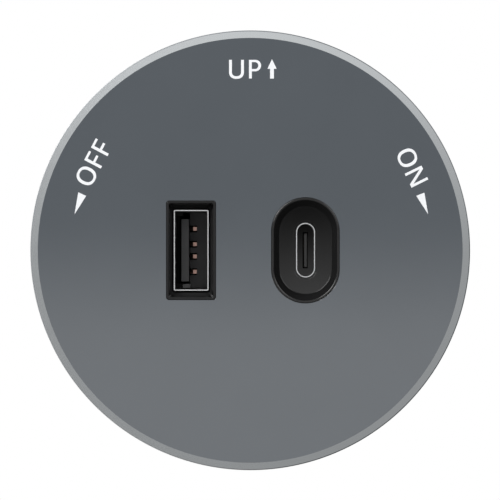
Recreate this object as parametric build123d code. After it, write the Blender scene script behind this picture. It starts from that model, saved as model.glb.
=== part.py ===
from build123d import *
import os
from math import sin, cos, radians

# Twist-lock power track adaptor with one type A and one type C charging port.
# Millimetres. +X right, +Z up (the arrow on the face), -Y out of the face.
# The origin is on the twist axis, in the plane where the seat bears on the track.

# ---------------------------------------------------------------- driving dimensions
R_OUT = 35.70          # outer radius of the drum
R_FACE = 34.40         # radius of the flat face, inside the bright chamfer
R_CHAMFER = 35.55      # outer end of the chamfer
Y_FACE = -30.00        # face plane
Y_LIP = -30.08         # front of the two port inserts' lips, just proud of the face
T_FACE = 1.60          # face plate thickness
T_ADH = 0.15           # adhesive under the face plate
T_WEB = 1.80           # front shell's web
Y_SKIRT = -24.35       # rear end of the face plate's skirt
Y_SPLIT = -6.20        # rear end of the front shell
REVEAL = 0.30          # shadow gap at each split line
Y_BACK = -0.80         # rear face of the rear shell
T_BACK = 2.60          # rear shell wall
Y_BOARD = -14.40       # front surface of the board
T_BOARD = 1.60
R_BOARD = 32.00

X_A = -9.59            # type A port centre
A_W, A_H = 8.02, 16.05          # insert outline
A_LIP = 0.42                    # lip width
A_SHELL_W, A_SHELL_H = 5.70, 13.155
A_SHELL_T = 0.25
A_GAP = 0.06           # clearance round the shell at the funnel's foot
Y_A_SHELL = -28.00     # front edge of the type A shell
Y_A_TONGUE = -25.80    # tip of the tongue
Y_A_BASE = -18.20      # front of the base on the contacts' side

X_C = 8.95             # type C opening's centre
X_CP = 9.015           # centre of its floor and of the port in it
C_W, C_H = 11.05, 17.14         # insert outline (a stadium)
C_FLOOR_W, C_FLOOR_H = 8.58, 14.22
C_LIP = 0.42
Y_C_FLOOR = -25.70     # floor of the well
C_SHELL_W, C_SHELL_H = 3.165, 8.97
C_SHELL_T = 0.215
Y_C_SHELL = -25.82     # front edge of the type C shell
Y_C_TONGUE = -25.00
Y_C_BASE = -19.00

SCREW_POS = 20.5       # housing screws at (+-20.5, +-20.5)
BOSS_R = 28.6          # board bosses on this radius

R_SEAT = 22.0          # seat plate
T_SEAT = 2.20
R_BARREL = 12.95       # seat barrel, running in the rear shell's aperture
R_APERTURE = 13.00
Y_BARREL = -7.00       # front end of the barrel
SLOT_W = 10.0          # the track's slot, for reference
KEY_W = 9.60           # seat keys across the slot
KEY_DEPTH = 4.00
R_STEM = 4.70          # neck stem
R_BORE = 3.30          # channel through the stem
ARM_L, ARM_W = 28.0, 9.40
Y_ARM = 5.40           # front of the arm, behind the track's lips
Y_ARM_END = 13.40
Y_COVER_END = 15.20
SHOE_TRAVEL = 1.20
TWIST = 90.0           # degrees from OFF to ON

parts = {}


# ---------------------------------------------------------------- helpers
def prism(outline, y0, y1, taper=0.0):
    """An X-Z outline from y0 to y1. A taper narrows it towards y0."""
    where = Plane(origin=(0, y1, 0), x_dir=(1, 0, 0), z_dir=(0, -1, 0))
    return extrude(where * outline, amount=y1 - y0, taper=taper)


def rod(r, y0, y1, x=0.0, z=0.0):
    return prism(Pos(x, z) * Circle(r), y0, y1)


def tube(ro, ri, y0, y1, x=0.0, z=0.0):
    return prism(Pos(x, z) * (Circle(ro) - Circle(ri)), y0, y1)


def block(x0, x1, y0, y1, z0, z1):
    return Pos((x0 + x1) / 2, (y0 + y1) / 2, (z0 + z1) / 2) * Box(
        abs(x1 - x0), abs(y1 - y0), abs(z1 - z0))


def turned(*pts):
    """A profile of (radius, y) points turned about the twist axis."""
    return revolve(make_face(Polyline(*pts, close=True)), axis=Axis.Y)


def at_y(y):
    """The plane across the twist axis at y, facing out."""
    return Plane(origin=(0, y, 0), x_dir=(1, 0, 0), z_dir=(0, -1, 0))


def upright(w, h):
    """A stadium, h tall and w wide."""
    return SlotOverall(h, w, rotation=90)


def sector(r0, r1, a0, a1):
    """An annular sector in the X-Z plane, angles in degrees from +X."""
    def p(r, a):
        return (r * cos(radians(a)), r * sin(radians(a)))
    am = (a0 + a1) / 2
    return make_face([
        Edge.make_three_point_arc(p(r1, a0), p(r1, am), p(r1, a1)),
        Edge.make_line(p(r1, a1), p(r0, a1)),
        Edge.make_three_point_arc(p(r0, a1), p(r0, am), p(r0, a0)),
        Edge.make_line(p(r0, a0), p(r1, a0)),
    ])


def group(solids):
    """Separate solids that share one node."""
    out = []
    for s in solids:
        out.extend(s.solids())
    return Compound(children=out)


def ring_of(r, angles):
    return [(r * cos(radians(a)), r * sin(radians(a))) for a in angles]


def cross(y_head, depth, size=1.9, x=0.0, z=0.0, width=0.55):
    """The cross recess of a screw head whose face is at y_head, cut towards -Y."""
    lo, hi = y_head - depth, y_head + 0.2
    return (block(x - size / 2, x + size / 2, lo, hi, z - width / 2, z + width / 2)
            + block(x - width / 2, x + width / 2, lo, hi, z - size / 2, z + size / 2))


def screw_head_back(x, z, y_head, r_head, t_head, r_shank, y_tip, recess=0.9):
    """A pan-head screw driven from the back: head face at y_head, tip at y_tip."""
    head = rod(r_head, y_head - t_head, y_head, x, z)
    rim = head.edges().filter_by(GeomType.CIRCLE).group_by(Axis.Y)[-1]
    head = fillet(rim, t_head * 0.42)
    shank = rod(r_shank, y_tip + 1.2, y_head - t_head, x, z)
    tip = Pos(x, y_tip + 0.6, z) * Rot(90, 0, 0) * Cone(r_shank, r_shank * 0.35, 1.2)
    return head + shank + tip - cross(y_head, recess, r_head * 1.15, x, z, r_head * 0.24)


def screw_head_front(x, z, y_head, r_head, t_head, r_shank, y_tip, recess=0.7):
    """The same, driven from the front."""
    head = rod(r_head, y_head, y_head + t_head, x, z)
    rim = head.edges().filter_by(GeomType.CIRCLE).group_by(Axis.Y)[0]
    head = fillet(rim, t_head * 0.42)
    shank = rod(r_shank, y_head + t_head, y_tip, x, z)
    s = r_head * 1.15
    w = r_head * 0.24
    cut = (block(x - s / 2, x + s / 2, y_head - 0.2, y_head + recess, z - w / 2, z + w / 2)
           + block(x - w / 2, x + w / 2, y_head - 0.2, y_head + recess, z - s / 2, z + s / 2))
    return head + shank - cut


Y_WEB = Y_FACE + T_FACE + T_ADH            # front of the web
Y_WEB_BACK = Y_WEB + T_WEB                 # rear of the web
Y_PLATE_BACK = Y_FACE + T_FACE
Y_BOARD_BACK = Y_BOARD + T_BOARD
screw_xz = [(sx * SCREW_POS, sz * SCREW_POS) for sx in (-1, 1) for sz in (-1, 1)]
boss_xz = ring_of(BOSS_R, (0, 90, 180))

a_outline = Pos(X_A, 0) * RectangleRounded(A_W, A_H, 0.44)
a_hole = Pos(X_A, 0) * RectangleRounded(A_W + 0.08, A_H + 0.08, 0.48)
c_outline = Pos(X_C, 0) * upright(C_W, C_H)
c_hole = Pos(X_C, 0) * upright(C_W + 0.08, C_H + 0.08)

# ---------------------------------------------------------------- casing
# Face plate: a turned aluminium cap with a bright-cut chamfer and a short skirt.
face_plate = turned(
    (0, Y_FACE), (R_FACE, Y_FACE), (R_CHAMFER, Y_FACE + (R_CHAMFER - R_FACE)),
    (R_OUT, Y_FACE + (R_CHAMFER - R_FACE) + 0.22), (R_OUT, Y_SKIRT - 0.2),
    (R_OUT - 0.2, Y_SKIRT), (R_FACE + 0.30, Y_SKIRT), (R_FACE + 0.30, Y_PLATE_BACK),
    (0, Y_PLATE_BACK))
face_plate -= prism(a_hole, Y_FACE - 1, Y_PLATE_BACK + 1)
face_plate -= prism(c_hole, Y_FACE - 1, Y_PLATE_BACK + 1)
parts["face_plate"] = face_plate

adhesive = rod(33.6, Y_PLATE_BACK, Y_WEB)
adhesive -= prism(Pos(X_A, 0) * RectangleRounded(A_W + 2.4, A_H + 2.4, 1.5), Y_PLATE_BACK - 1, Y_WEB + 1)
adhesive -= prism(Pos(X_C, 0) * upright(C_W + 2.4, C_H + 2.4), Y_PLATE_BACK - 1, Y_WEB + 1)
parts["face_adhesive"] = adhesive

# Front shell: drum wall, web behind the face plate, screw pillars, board bosses.
Y_REBATE = Y_SKIRT + REVEAL
front_shell = turned(
    (0, Y_WEB), (R_FACE - 0.1, Y_WEB), (R_FACE + 0.2, Y_WEB + 0.3), (R_FACE + 0.2, Y_REBATE),
    (R_OUT - 0.25, Y_REBATE), (R_OUT, Y_REBATE + 0.25), (R_OUT, Y_SPLIT - 0.25),
    (R_OUT - 0.25, Y_SPLIT), (33.2, Y_SPLIT), (33.2, Y_WEB_BACK + 1.2),
    (32.0, Y_WEB_BACK), (0, Y_WEB_BACK))
for x, z in screw_xz:
    front_shell += rod(3.4, Y_WEB_BACK - 0.1, Y_SPLIT, x, z)
    # gusset from each pillar to the wall
    ux, uz = (1 if x > 0 else -1), (1 if z > 0 else -1)
    rib = prism(Pos(x + ux * 2.1, z + uz * 2.1) * Rectangle(3.6, 1.4, rotation=45 * ux * uz),
                Y_WEB_BACK - 0.1, Y_BOARD - 0.6)
    front_shell += rib
for x, z in boss_xz:
    front_shell += rod(2.6, Y_WEB_BACK - 0.1, Y_BOARD, x, z)
for x, z in screw_xz:
    front_shell -= rod(1.52, -19.0, Y_SPLIT + 1, x, z)
for x, z in boss_xz:
    front_shell -= rod(0.97, -21.0, Y_BOARD + 1, x, z)
front_shell -= prism(a_hole, Y_WEB - 1, Y_WEB_BACK + 1)
front_shell -= prism(c_hole, Y_WEB - 1, Y_WEB_BACK + 1)
# locating key for the rear shell's spigot
front_shell -= prism(Pos(0, -33.9) * Rectangle(4.0, 1.6), Y_SPLIT - 2.2, Y_SPLIT + 1)
parts["front_shell"] = front_shell

# Rear shell: outer band, back wall, recess for the seat, aperture, pillars.
Y_IN = Y_BACK - T_BACK                      # inner face of the outer back wall
Y_RECESS = -T_SEAT - 0.20                   # floor of the seat's recess
Y_HUB = -4.60                               # inner face of the hub region
rear_shell = turned(
    (R_APERTURE, Y_RECESS), (R_SEAT + 0.35, Y_RECESS), (R_SEAT + 0.35, Y_BACK - 0.3),
    (R_SEAT + 0.65, Y_BACK), (R_OUT - 1.6, Y_BACK), (R_OUT - 0.47, Y_BACK - 0.47),
    (R_OUT, Y_BACK - 1.6), (R_OUT, Y_SPLIT + REVEAL + 0.25), (R_OUT - 0.25, Y_SPLIT + REVEAL),
    (33.05, Y_SPLIT + REVEAL), (33.05, Y_SPLIT - 2.0), (32.75, Y_SPLIT - 2.3),
    (31.0, Y_SPLIT - 2.3), (31.0, Y_IN), (R_SEAT + 2.6, Y_IN), (R_SEAT + 1.4, Y_HUB),
    (R_APERTURE, Y_HUB))
flange_xz = ring_of(18.0, (90, 210, 330))
for x, z in screw_xz:
    rear_shell += rod(3.4, Y_SPLIT, Y_IN + 0.1, x, z)
for x, z in flange_xz:
    rear_shell += rod(2.5, -7.40, Y_HUB + 0.1, x, z)
for x, z in screw_xz:
    rear_shell -= rod(1.70, Y_SPLIT - 1, Y_BACK + 1, x, z)
    rear_shell -= rod(3.10, Y_BACK - 2.0, Y_BACK + 1, x, z)
for x, z in flange_xz:
    rear_shell -= rod(1.00, -8.0, -4.95, x, z)
# the pillars' bores in the spigot's path stay clear
for x, z in screw_xz:
    rear_shell -= (rod(3.8, Y_SPLIT - 3, Y_SPLIT, x, z))
# groove for the seat's stop lug: 90 degrees of travel
LUG_A = 8.0                                 # lug half angle
LUG_AT = -45.0                              # lug's place, degrees from +X towards +Z
# The shell turns with the seat held, so at rest the lug is at one end of the groove.
rear_shell -= prism(sector(16.0, 20.3, LUG_AT - LUG_A - 0.6, LUG_AT + LUG_A + TWIST + 0.6),
                    Y_RECESS - 1.45, Y_RECESS + 0.5)
# concentric relief line on the back, and index marks at 0 and 90 degrees
rear_shell -= tube(31.2, 30.9, Y_BACK - 0.25, Y_BACK + 1)
parts["rear_shell"] = rear_shell

parts["housing_screws"] = group([
    screw_head_back(x, z, Y_BACK - 0.25, 2.75, 1.75, 1.45, -17.5) for x, z in screw_xz])

# ---------------------------------------------------------------- type A port
usb_a_frame = prism(a_outline, Y_LIP, Y_WEB_BACK)
usb_a_frame = fillet(usb_a_frame.edges().group_by(Axis.Y)[0], 0.14)
usb_a_frame += prism(Pos(X_A, 0) * RectangleRounded(10.6, 18.6, 1.0), Y_WEB_BACK, Y_WEB_BACK + 1.2)
# A funnel of four sloping walls, with corner patches that stand a little proud of them.
in_w, in_h = A_W - 2 * A_LIP, A_H - 2 * A_LIP
foot_w, foot_h = A_SHELL_W + 2 * A_GAP, A_SHELL_H + 2 * A_GAP
Y_MOUTH, Y_FOOT = Y_LIP + 0.22, Y_WEB_BACK + 0.10
walls = loft([at_y(Y_MOUTH) * (Pos(X_A, 0) * RectangleRounded(in_w, in_h, 0.30)),
              at_y(Y_FOOT) * (Pos(X_A, 0) * RectangleRounded(foot_w, foot_h, 0.28))])
walls &= (block(X_A - 5, X_A + 5, Y_MOUTH, Y_FOOT, -A_SHELL_H / 2 + 0.10, A_SHELL_H / 2 - 0.10)
          + block(X_A - A_SHELL_W / 2 + 0.04, X_A + A_SHELL_W / 2 - 0.04, Y_MOUTH, Y_FOOT, -9, 9))
corners = loft([at_y(Y_MOUTH) * (Pos(X_A, 0) * RectangleRounded(in_w - 0.01, in_h - 0.01, 0.30)),
                at_y(Y_FOOT) * (Pos(X_A, 0) * RectangleRounded(foot_w - 0.16, foot_h - 0.16, 0.28))])
usb_a_frame -= prism(Pos(X_A, 0) * RectangleRounded(in_w, in_h, 0.30), Y_LIP - 1, Y_MOUTH)
usb_a_frame -= walls
usb_a_frame -= corners
usb_a_frame -= prism(Pos(X_A, 0) * RectangleRounded(foot_w - 0.04, foot_h - 0.04, 0.28), Y_FACE - 1, Y_WEB_BACK + 3)
mouth = [e for e in usb_a_frame.edges().group_by(Axis.Y)[0]
         if abs(e.center().X - X_A) < in_w / 2 + 0.08 and abs(e.center().Z) < in_h / 2 + 0.08]
usb_a_frame = fillet(mouth, 0.14)
parts["usb_a_frame"] = usb_a_frame

a_tab_z = A_SHELL_H / 2 - A_SHELL_T / 2


def drawn_shell(outline, wall, y_front, outer, inner, lead, y_end):
    """A drawn shell whose wall is thinned at the mouth. outline(d) is the outline d inside the outer one."""
    body = prism(outline(0), y_front + lead, y_end)
    body += loft([at_y(y_front) * outline(outer), at_y(y_front + lead) * outline(0)])
    hollow = prism(outline(wall), y_front - 1, y_end + 1)
    hollow += loft([at_y(y_front) * outline(wall - inner), at_y(y_front + 0.5) * outline(wall)])
    return body - hollow


shell = drawn_shell(lambda d: Pos(X_A, 0) * RectangleRounded(A_SHELL_W - 2 * d, A_SHELL_H - 2 * d, max(0.24 - d, 0.08)),
                    A_SHELL_T, Y_A_SHELL, 0.045, 0.065, 0.30, Y_BOARD)
for s in (-1, 1):
    shell += block(X_A - 0.8, X_A + 0.8, Y_BOARD - 0.5, Y_BOARD_BACK + 0.7,
                   s * a_tab_z - A_SHELL_T / 2, s * a_tab_z + A_SHELL_T / 2)
# retention spring fingers cut in the two long walls
for s in (-1, 1):
    for zc in (-3.1, 3.1):
        xw = X_A + s * (A_SHELL_W / 2 - A_SHELL_T / 2)
        for dz in (-1.05, 1.05):
            shell -= block(xw - 0.4, xw + 0.4, -25.6, -20.2, zc + dz - 0.15, zc + dz + 0.15)
        shell -= block(xw - 0.4, xw + 0.4, -20.5, -20.2, zc - 1.2, zc + 1.2)
parts["usb_a_shell"] = shell

a_in_w = A_SHELL_W - 2 * A_SHELL_T - 0.04
a_in_h = A_SHELL_H - 2 * A_SHELL_T - 0.04
a_z = (3.50, 1.00, -1.00, -3.50)
ins = prism(Pos(X_A, 0) * RectangleRounded(a_in_w, a_in_h, 0.12), Y_A_BASE + 0.60, Y_BOARD)
ins += block(X_A - 0.295, X_A + a_in_w / 2, Y_A_BASE, -17.0, -a_in_h / 2 + 0.15, a_in_h / 2 - 0.15)
ins -= block(X_A - 1.95, X_A - 0.295, Y_A_BASE - 1, -15.3, -5.40, 6.10)   # moat round the tongue's root
tongue = block(X_A - 1.63, X_A - 0.391, Y_A_TONGUE, -15.1, -5.08, 5.08)
tongue = fillet(tongue.edges().group_by(Axis.Y)[0], 0.10)
ins += tongue
for z0, z1 in ((5.61, a_in_h / 2), (-a_in_h / 2, -5.46)):                 # locating steps
    step = block(X_A - a_in_w / 2, X_A - 1.42, -21.6, -17.0, z0, z1)
    ins += fillet(step.edges().filter_by(Axis.Y).group_by(Axis.X)[0].sort_by(
        lambda e: abs(e.center().Z))[-1], 0.12)
rib = block(X_A - 1.35, X_A - 0.21, -25.75, -16.8, -6.14, -5.49)
ins += fillet(rib.edges().group_by(Axis.Y)[0], 0.06)
for z in a_z:
    ins -= block(X_A - 0.315, X_A + 0.03, Y_A_BASE - 1, Y_BOARD + 1, z - 0.50, z + 0.50)
    ins -= block(X_A - 0.315, X_A + 0.855, Y_A_BASE - 1, Y_A_BASE + 1.6, z - 0.56, z + 0.56)
parts["usb_a_insulator"] = ins


def a_contact(z):
    """A leaf that rises from the base beside the tongue, with its end turned out flat."""
    tail = Y_BOARD_BACK + 0.8
    leaf = make_face(Polyline(
        (-0.235, tail), (-0.235, -20.65), (0.295, -22.95), (0.295, -23.60), (0.870, -23.60),
        (0.870, -23.42), (0.475, -23.42), (0.475, -22.90), (-0.055, -20.60), (-0.055, tail), close=True))
    return Pos(X_A, 0, z - 0.305) * extrude(leaf, amount=0.61)


parts["usb_a_contacts"] = group([a_contact(z) for z in a_z])

# ---------------------------------------------------------------- type C port
usb_c_frame = prism(c_outline, Y_LIP, Y_WEB_BACK + 2.1)
usb_c_frame = fillet(usb_c_frame.edges().group_by(Axis.Y)[0], 0.14)
usb_c_frame += prism(Pos(X_C, 0) * upright(13.4, 19.5), Y_WEB_BACK, Y_WEB_BACK + 1.2)
well_w, well_h = C_W - 2 * C_LIP, C_H - 2 * C_LIP
well = loft([at_y(Y_LIP) * (Pos(X_C, 0) * upright(well_w, well_h)),
             at_y(Y_C_FLOOR) * (Pos(X_CP, 0) * upright(C_FLOOR_W, C_FLOOR_H))])
usb_c_frame -= well
floor_edge = [e for e in usb_c_frame.edges() if abs(e.center().Y - Y_C_FLOOR) < 0.01]
usb_c_frame = fillet(floor_edge, 0.06)
mouth = [e for e in usb_c_frame.edges().group_by(Axis.Y)[0]
         if abs(e.center().X - X_C) < well_w / 2 + 0.05 and abs(e.center().Z) < well_h / 2 + 0.05]
usb_c_frame = fillet(mouth, 0.14)
# a shallow relief round the shell
usb_c_frame -= prism(Pos(X_CP, 0.02) * upright(C_SHELL_W + 0.54, C_SHELL_H + 0.54), Y_C_FLOOR - 1, Y_C_FLOOR + 0.07)
relief = [e for e in usb_c_frame.edges()
          if abs(e.center().Y - Y_C_FLOOR) < 0.01 and abs(e.center().X - X_CP) < C_SHELL_W / 2 + 0.4
          and abs(e.center().Z) < C_SHELL_H / 2 + 0.4]
usb_c_frame = fillet(relief, 0.05)
usb_c_frame -= prism(Pos(X_CP, 0.02) * upright(C_SHELL_W + 0.06, C_SHELL_H + 0.06), Y_FACE - 1, Y_BOARD)
parts["usb_c_frame"] = usb_c_frame

parts["usb_c_shell"] = drawn_shell(lambda d: Pos(X_CP, 0.02) * upright(C_SHELL_W - 2 * d, C_SHELL_H - 2 * d),
                                   C_SHELL_T, Y_C_SHELL, 0.055, 0.025, 0.25, Y_BOARD)

c_in_w, c_in_h = C_SHELL_W - 2 * C_SHELL_T - 0.03, C_SHELL_H - 2 * C_SHELL_T - 0.03
ins = prism(Pos(X_CP, 0.02) * upright(c_in_w, c_in_h), Y_C_BASE, Y_BOARD)
ins -= block(X_CP - 0.42, X_CP + 0.42, Y_C_BASE - 1, Y_C_BASE + 2.6, -2.96, 2.96)    # moat round the tongue's root
tongue = block(X_CP - 0.25, X_CP + 0.25, Y_C_TONGUE, Y_C_BASE + 2.8, -2.74, 2.74)
tongue = fillet(tongue.edges().group_by(Axis.Y)[0], 0.10)
c_z = [(i - 4.5) * 0.5 for i in range(10)]
for s in (-1, 1):
    for z in c_z:                            # each strip lies in its own groove
        tongue -= block(X_CP + s * 0.19, X_CP + s * 0.30, Y_C_TONGUE + 0.6, Y_C_BASE, z - 0.13, z + 0.13)
ins += tongue
parts["usb_c_insulator"] = ins
parts["usb_c_contacts"] = group([
    block(X_CP + s * 0.19, X_CP + s * 0.245, Y_C_TONGUE + 0.6, Y_C_BASE, z - 0.13, z + 0.13)
    for s in (-1, 1) for z in c_z])

# ---------------------------------------------------------------- board and what stands on it
board = rod(R_BOARD, Y_BOARD, Y_BOARD_BACK)
for x, z in screw_xz:
    board -= rod(3.9, Y_BOARD - 1, Y_BOARD_BACK + 1, x, z)
    ux, uz = (1 if x > 0 else -1), (1 if z > 0 else -1)
    board -= prism(Pos(x + ux * 3.2, z + uz * 3.2) * Rectangle(9.0, 7.6, rotation=45 * ux * uz),
                   Y_BOARD - 1, Y_BOARD_BACK + 1)
for x, z in boss_xz:
    board -= rod(1.15, Y_BOARD - 1, Y_BOARD_BACK + 1, x, z)
for s in (-1, 1):
    board -= block(X_A - 1.05, X_A + 1.05, Y_BOARD - 1, Y_BOARD_BACK + 1,
                   s * a_tab_z - 0.35, s * a_tab_z + 0.35)
for z in a_z:
    board -= rod(0.46, Y_BOARD - 1, Y_BOARD_BACK + 1, X_A - 0.145, z)
board -= prism(Pos(0, -10.3) * SlotOverall(9.0, 1.2), Y_BOARD - 1, Y_BOARD_BACK + 1)   # isolation slot
parts["main_board"] = board

parts["board_screws"] = group([
    screw_head_back(x, z, Y_BOARD_BACK + 1.5, 2.1, 1.5, 0.92, -20.0, 0.8) for x, z in boss_xz])

# transformer, with its winding about a vertical centre leg
TZ = -17.0
core = block(-6.5, 6.5, -25.6, -15.9, TZ - 3.0, TZ + 3.0)
for s in (-1, 1):
    core -= block(s * 1.6, s * 4.95, -23.9, -17.6, TZ - 4, TZ + 4)
core = chamfer(core.edges().filter_by(Axis.Z).group_by(Axis.Y)[0], 0.4)
parts["transformer_core"] = core
bob = block(-2.05, 2.05, -23.75, -17.75, TZ - 3.5, TZ + 3.5) - block(-1.68, 1.68, -24, -17, TZ - 3.08, TZ + 3.08)
for y0, y1 in ((-23.75, -23.3), (-18.25, -17.75)):
    bob += (block(-4.85, 4.85, y0, y1, TZ - 6.1, TZ + 6.1)
            - block(-1.68, 1.68, y0 - 1, y1 + 1, TZ - 3.08, TZ + 3.08))
for s in (-1, 1):
    foot = block(-5.4, 5.4, -18.25, Y_BOARD, TZ + s * 3.15, TZ + s * 6.1)
    bob += foot
parts["transformer_bobbin"] = bob
wind = (block(-4.6, 4.6, -23.25, -18.3, TZ - 5.9, TZ + 5.9)
        - block(-2.07, 2.07, -24, -17, TZ - 3.52, TZ + 3.52))
wind = fillet(wind.edges().filter_by(Axis.Y).group_by(SortBy.DISTANCE)[-1], 1.6)
parts["transformer_winding"] = wind


def can(x, z, r, h):
    """A radial electrolytic capacitor standing on the board's front."""
    c = turned((0, -h), (r - 0.5, -h), (r, -h + 0.5), (r, -2.2), (r - 0.35, -1.9), (r - 0.35, -1.5),
               (r, -1.2), (r, -0.35), (r - 0.3, 0), (0, 0))
    c -= block(-r * 0.6, r * 0.6, -h - 0.1, -h + 0.12, -0.12, 0.12)
    c -= block(-0.12, 0.12, -h - 0.1, -h + 0.12, -r * 0.6, r * 0.6)
    return Pos(x, Y_BOARD, z) * c


parts["bulk_capacitors"] = group([can(-11.7, -15.2, 4.0, 11.2), can(-20.6, -11.4, 4.0, 11.2)])
parts["output_capacitors"] = group([can(x, 14.4, 3.15, 9.0) for x in (-12.6, -5.6, 1.4)])

xcap = block(7.8, 17.8, -24.6, Y_BOARD, -17.2, -12.6)
parts["x_capacitor"] = fillet(xcap.edges().group_by(Axis.Y)[0], 0.7)
ycap = Pos(24.0, -18.3, -8.6) * Cylinder(3.3, 2.8)
ycap = fillet(ycap.edges(), 0.9)
ycap += rod(0.35, -15.6, Y_BOARD, 22.2, -8.6) + rod(0.35, -15.6, Y_BOARD, 25.8, -8.6)
parts["y_capacitor"] = ycap

CH = (0.0, -27.45)
choke = tube(3.55, 1.8, -18.2, -15.2, *CH)
parts["choke_core"] = fillet(choke.edges().filter_by(GeomType.CIRCLE), 0.4)
sleeve = tube(3.95, 1.35, -18.65, -14.75, *CH) - tube(3.58, 1.77, -18.23, -15.17, *CH)
keep = [prism(Pos(*CH) * sector(1.0, 4.5, a - 58, a + 58), -19, -14.4) for a in (0, 180)]
parts["choke_winding"] = group([sleeve & k for k in keep])

fuse = block(6.4, 13.2, -22.6, Y_BOARD, -28.0, -24.4)
parts["fuse"] = fillet(fuse.edges().group_by(Axis.Y)[0], 0.5)
mov = Pos(-9.8, -18.6, -26.2) * Cylinder(3.5, 3.0)
mov = fillet(mov.edges(), 0.9)
mov += rod(0.35, -15.5, Y_BOARD, -11.6, -26.2) + rod(0.35, -15.5, Y_BOARD, -8.0, -26.2)
parts["varistor"] = mov

ind = block(8.4, 15.6, -18.6, Y_BOARD, 12.2, 19.4)
ind = chamfer(ind.edges().filter_by(Axis.Y), 1.1)
parts["output_inductor"] = ind - prism(Pos(12.0, 15.8) * (Circle(2.9) - Circle(2.6)), -19, -18.35)


def chip(x, z, w, h, t, back=False):
    if back:
        c = block(x - w / 2, x + w / 2, Y_BOARD_BACK + 0.08, Y_BOARD_BACK + t, z - h / 2, z + h / 2)
        face = c.edges().group_by(Axis.Y)[-1]
    else:
        c = block(x - w / 2, x + w / 2, Y_BOARD - t, Y_BOARD - 0.08, z - h / 2, z + h / 2)
        face = c.edges().group_by(Axis.Y)[0]
    c = chamfer(face, 0.12)
    for s in (-1, 1):
        for k in (-1.5, -0.5, 0.5, 1.5):
            zk = z + k * h / 4.2
            if back:
                c += block(x + s * (w / 2 - 0.1), x + s * (w / 2 + 0.7), Y_BOARD_BACK, Y_BOARD_BACK + 0.25, zk - 0.18, zk + 0.18)
            else:
                c += block(x + s * (w / 2 - 0.1), x + s * (w / 2 + 0.7), Y_BOARD - 0.25, Y_BOARD, zk - 0.18, zk + 0.18)
    return c


parts["bridge_rectifier"] = chip(-23.5, 6.5, 4.0, 4.7, 1.9, back=True)
parts["controller_chips"] = group([
    chip(0.0, 22.6, 4.0, 4.9, 1.3), chip(-9.5, 22.8, 4.0, 4.9, 1.3), chip(0.0, 0.0, 3.0, 4.0, 1.0),
    chip(22.5, 7.0, 4.0, 4.9, 1.3, back=True)])


def terminal(x, z):
    t = block(x - 1.6, x + 1.6, Y_BOARD_BACK, -9.8, z - 0.9, z + 0.9)
    return fillet(t.edges().filter_by(Axis.Z).group_by(Axis.Y)[-1], 0.4)


parts["terminals"] = group([terminal(-7.0, -24.6), terminal(0.0, -25.2), terminal(7.0, -24.6)])

# ---------------------------------------------------------------- neck (turns with the housing)
neck = rod(20.3, -9.20, -7.40)
neck = chamfer(neck.edges().filter_by(GeomType.CIRCLE), 0.25)
neck += rod(R_STEM, -7.6, Y_ARM + 0.2)
arm = prism(SlotOverall(ARM_L, ARM_W), Y_ARM, Y_ARM_END)
arm = chamfer(arm.edges().group_by(Axis.Y)[0], 0.5)
arm -= prism(RectangleRounded(22.8, 6.9, 0.8), 7.20, Y_ARM_END + 1)
for s in (-1, 1):
    arm += block(s * 3.7, s * 4.7, 8.2, 13.3, -3.5, 3.5)
    arm -= block(s * 11.0, s * 15.0, 8.5, 12.5, -2.35, 2.35)
neck += arm
neck -= rod(R_BORE, -10.0, 7.5)
for x, z in flange_xz:
    neck -= rod(1.30, -10.0, -7.0, x, z)
for s in (-1, 1):                            # feet of the earth contact pass here
    neck -= block(s * 7.2, s * 8.2, Y_ARM - 1, 7.5, -3.35, -2.25)
neck -= tube(18.4 - 1.9, 8.5, -9.4, -8.8)    # weight-saving recess in the flange
parts["neck"] = neck

cover = prism(SlotOverall(ARM_L, ARM_W), Y_ARM_END, Y_COVER_END)
cover = chamfer(cover.edges().group_by(Axis.Y)[-1], 0.7)
cover -= prism(SlotOverall(ARM_L - 6.4, ARM_W - 5.4), Y_COVER_END - 0.35, Y_COVER_END + 1)
parts["neck_cover"] = cover

parts["neck_screws"] = group([
    screw_head_front(x, z, -10.6, 2.0, 1.4, 0.95, -5.1) for x, z in flange_xz])


def strip(s):
    """L-shaped conductor: along the arm's floor, then down the stem's channel."""
    a = block(s * 1.6, s * 10.6, 7.25, 7.65, -1.5, 1.5)
    b = block(s * 1.6, s * 2.0, -11.8, 7.65, -1.2, 1.2)
    return a + b


parts["live_strip"] = strip(1)
parts["neutral_strip"] = strip(-1)

earth = block(-8.1, 8.1, 7.25, 7.65, -3.25, -2.35)
earth += block(-1.0, 1.0, -11.8, 7.65, -2.75, -2.35)
for s in (-1, 1):
    earth += block(s * 7.3, s * 8.1, 4.95, 7.65, -3.25, -2.35)
    leaf = extrude(Plane(origin=(0, 0, -3.25), x_dir=(1, 0, 0), z_dir=(0, 0, 1)) * make_face(Polyline(
        (s * 7.3, 5.35), (s * 7.3, 4.95), (s * 9.6, 4.60), (s * 10.4, 4.60), (s * 12.2, 4.95),
        (s * 12.2, 5.30), (s * 10.4, 4.95), (s * 9.6, 4.95), (s * 8.1, 5.35), close=True)), amount=5.5)
    earth += leaf
parts["earth_contact"] = earth


def shoe(s):
    nose = prism(Pos(s * 12.95, 0) * Circle(2.25), 8.6, 12.4) + block(s * 11.2, s * 12.95, 8.6, 12.4, -2.25, 2.25)
    nose = fillet(nose.edges().group_by(Axis.Y)[0] + nose.edges().group_by(Axis.Y)[-1], 0.35)
    back = block(s * 9.7, s * 11.3, 7.75, 12.7, -2.85, 2.85)
    back = fillet(back.edges().filter_by(Axis.X), 0.4)
    return nose + back


parts["live_shoe"] = shoe(1)
parts["neutral_shoe"] = shoe(-1)


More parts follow.
